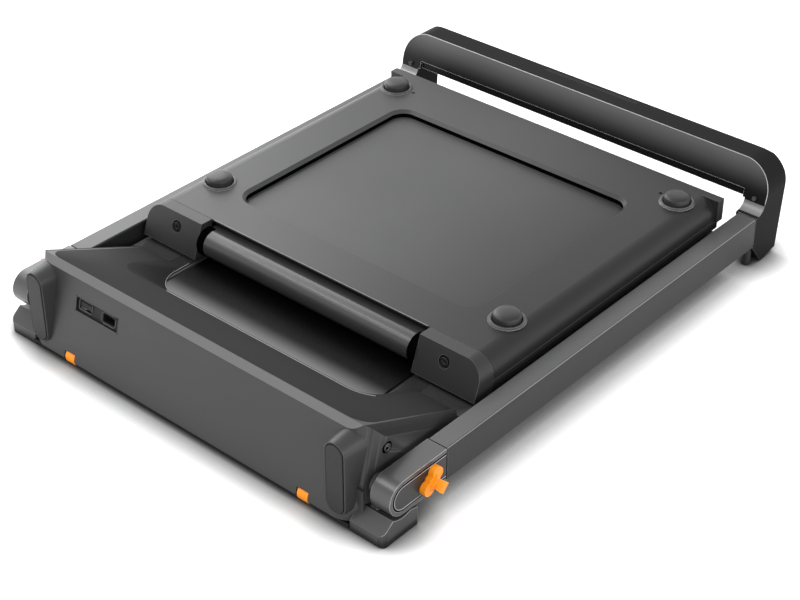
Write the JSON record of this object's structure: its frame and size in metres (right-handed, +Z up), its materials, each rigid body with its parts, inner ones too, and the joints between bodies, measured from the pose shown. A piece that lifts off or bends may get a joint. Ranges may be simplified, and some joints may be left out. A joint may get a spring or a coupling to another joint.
{
  "type": "folding walking pad",
  "caption": "Folding walking pad, stored: two belt decks folded face to face, a wedge motor housing in front and a U-shaped handlebar laid flat round them.",
  "frame": {"origin": "on the floor under the middle of the folded pad", "axes": "+Y from the motor housing to the crossbar, +Z up, +X across the pad"},
  "size_m": [0.7726, 0.926, 0.163],
  "materials": {
    "housing_plastic": "fine matt grain",
    "tray_plastic": "fine matt grain",
    "dark_plastic": "matt",
    "black_rubber": "matt rubber",
    "belt_rubber": "fine grip texture",
    "board_wood": "pressed board",
    "frame_steel": "black powder coat",
    "bare_steel": "zinc plate",
    "black_steel": "black coat",
    "motor_steel": "black coat",
    "pulley_metal": "as cast",
    "circuit": "board with parts",
    "post_metal": "grey anodised, satin",
    "orange_plastic": "satin",
    "lens_plastic": "smoked, gloss"
  },
  "bodies": {
    "base": {"front_tray": "tray_plastic", "front_frame": "frame_steel", "front_board": "board_wood", "front_belt": "belt_rubber", "front_rail_left": "housing_plastic", "front_rail_right": "housing_plastic", "front_feet": "black_rubber", "roller_bearings": "bare_steel", "drive_belt": "black_rubber", "motor_body": "motor_steel", "motor_mount": "frame_steel", "control_board": "circuit", "motor_cover": "housing_plastic", "bumpers": "black_rubber", "power_panel": "dark_plastic", "power_inlet": "dark_plastic", "wheel_axles": "bare_steel", "base_shoes": "post_metal", "pivot_bolts": "bare_steel", "side_catch": "bare_steel", "cover_screws": "bare_steel", "lower_hinge_blocks": "frame_steel", "lower_hinge_pins": "bare_steel"},
    "front_roller_set": {"front_roller": "bare_steel", "roller_pulley": "pulley_metal"},
    "motor_shaft": {"motor_pulley": "bare_steel"},
    "power_switch": {"power_rocker": "dark_plastic"},
    "left_wheel": {"wheel_left": "orange_plastic"},
    "right_wheel": {"wheel_right": "orange_plastic"},
    "hinge_link": {"hinge_link_left": "bare_steel", "hinge_link_right": "bare_steel"},
    "rear_deck": {"rear_tray": "tray_plastic", "rear_frame": "frame_steel", "rear_board": "board_wood", "rear_belt": "belt_rubber", "rear_rail_left": "housing_plastic", "rear_rail_right": "housing_plastic", "rear_feet": "black_rubber", "foot_rings": "dark_plastic", "end_bracket_left": "housing_plastic", "end_bracket_right": "housing_plastic", "rear_axle": "bare_steel", "tension_bolts": "black_steel", "upper_hinge_blocks": "frame_steel", "upper_hinge_pins": "bare_steel"},
    "rear_roller_tube": {"rear_roller": "black_steel"},
    "handlebar": {"post_left": "post_metal", "post_right": "post_metal", "knuckle_left": "post_metal", "knuckle_right": "post_metal", "knuckle_caps": "housing_plastic", "post_plugs": "dark_plastic", "handle_shell": "post_metal", "console_panel": "dark_plastic", "display_lens": "lens_plastic", "bar_feet": "black_rubber", "leg_screws": "bare_steel"},
    "dial": {"speed_dial": "orange_plastic"},
    "left_knob": {"knob_left": "orange_plastic"},
    "right_knob": {"knob_right": "orange_plastic"}
  },
  "joints": [
    {"name": "handlebar_fold", "type": "hinge", "parent": "base", "child": "handlebar", "pos_m": [0, -0.42, 0.062], "axis": [1, 0, 0], "range_deg": [0, 90]},
    {"name": "link_fold", "type": "hinge", "parent": "base", "child": "hinge_link", "pos_m": [0, 0.33, 0.048], "axis": [-1, 0, 0], "range_deg": [0, 71]},
    {"name": "deck_fold", "type": "hinge", "parent": "hinge_link", "child": "rear_deck", "pos_m": [0, 0.339, 0.088], "axis": [-1, 0, 0], "range_deg": [0, 109]},
    {"name": "front_roller_spin", "type": "hinge", "parent": "base", "child": "front_roller_set", "pos_m": [0, -0.375, 0.045], "axis": [1, 0, 0], "continuous": true},
    {"name": "motor_spin", "type": "hinge", "parent": "base", "child": "motor_shaft", "pos_m": [0.23, -0.404, 0.097], "axis": [1, 0, 0], "continuous": true},
    {"name": "rear_roller_spin", "type": "hinge", "parent": "rear_deck", "child": "rear_roller_tube", "pos_m": [0, -0.204, 0.0955], "axis": [1, 0, 0], "continuous": true},
    {"name": "left_wheel_roll", "type": "hinge", "parent": "base", "child": "left_wheel", "pos_m": [-0.225, -0.4495, 0.0135], "axis": [1, 0, 0], "continuous": true},
    {"name": "right_wheel_roll", "type": "hinge", "parent": "base", "child": "right_wheel", "pos_m": [0.225, -0.4495, 0.0135], "axis": [1, 0, 0], "continuous": true},
    {"name": "power_switch_tilt", "type": "hinge", "parent": "base", "child": "power_switch", "pos_m": [-0.203, -0.43347, 0.10036], "axis": [-1, 0, 0], "range_deg": [0, 14]},
    {"name": "speed_dial_turn", "type": "hinge", "parent": "handlebar", "child": "dial", "pos_m": [0.24, 0.43322, 0.099], "axis": [0, 0, 1], "continuous": true},
    {"name": "left_knob_turn", "type": "hinge", "parent": "handlebar", "child": "left_knob", "pos_m": [-0.36, -0.373, 0.062], "axis": [-1, 0, 0], "range_deg": [0, 90]},
    {"name": "right_knob_turn", "type": "hinge", "parent": "handlebar", "child": "right_knob", "pos_m": [0.36, -0.373, 0.062], "axis": [1, 0, 0], "range_deg": [0, 90]}
  ],
  "couplings": [
    {"joint": "motor_spin", "follows": "front_roller_spin", "ratio": 2.2},
    {"joint": "rear_roller_spin", "follows": "front_roller_spin", "ratio": 1}
  ]
}
